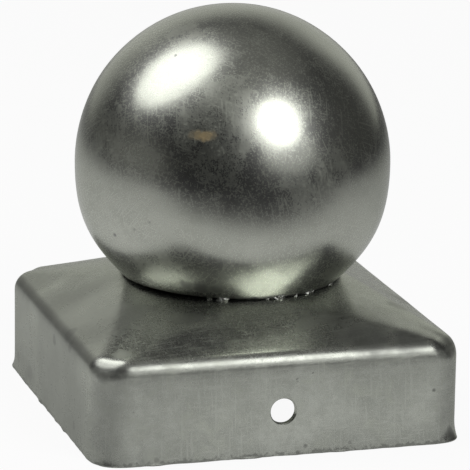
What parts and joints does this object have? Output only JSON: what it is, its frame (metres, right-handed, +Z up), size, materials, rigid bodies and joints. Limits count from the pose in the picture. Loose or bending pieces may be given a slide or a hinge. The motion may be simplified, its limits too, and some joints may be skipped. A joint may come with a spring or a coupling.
{
  "type": "ball post cap",
  "caption": "Square pressed galvanised steel post cap with a low hipped roof, a screw hole in the skirt and a hollow steel ball finial on top.",
  "frame": {"origin": "on the ground, at the middle of the cap's open underside", "axes": "+Z up through the middle of the ball; the screw holes go through the walls that face -Y and +Y"},
  "size_m": [0.0736, 0.0736, 0.0802],
  "materials": {
    "galvanised_sheet": "hot-dip galvanised sheet, semi-matt grey with soft reflections, small stains and a rough rim",
    "galvanised_ball": "galvanised, semi-gloss grey with fine hairline scratches"
  },
  "bodies": {
    "root": {"cap": "galvanised_sheet", "ball": "galvanised_ball"}
  },
  "joints": []
}
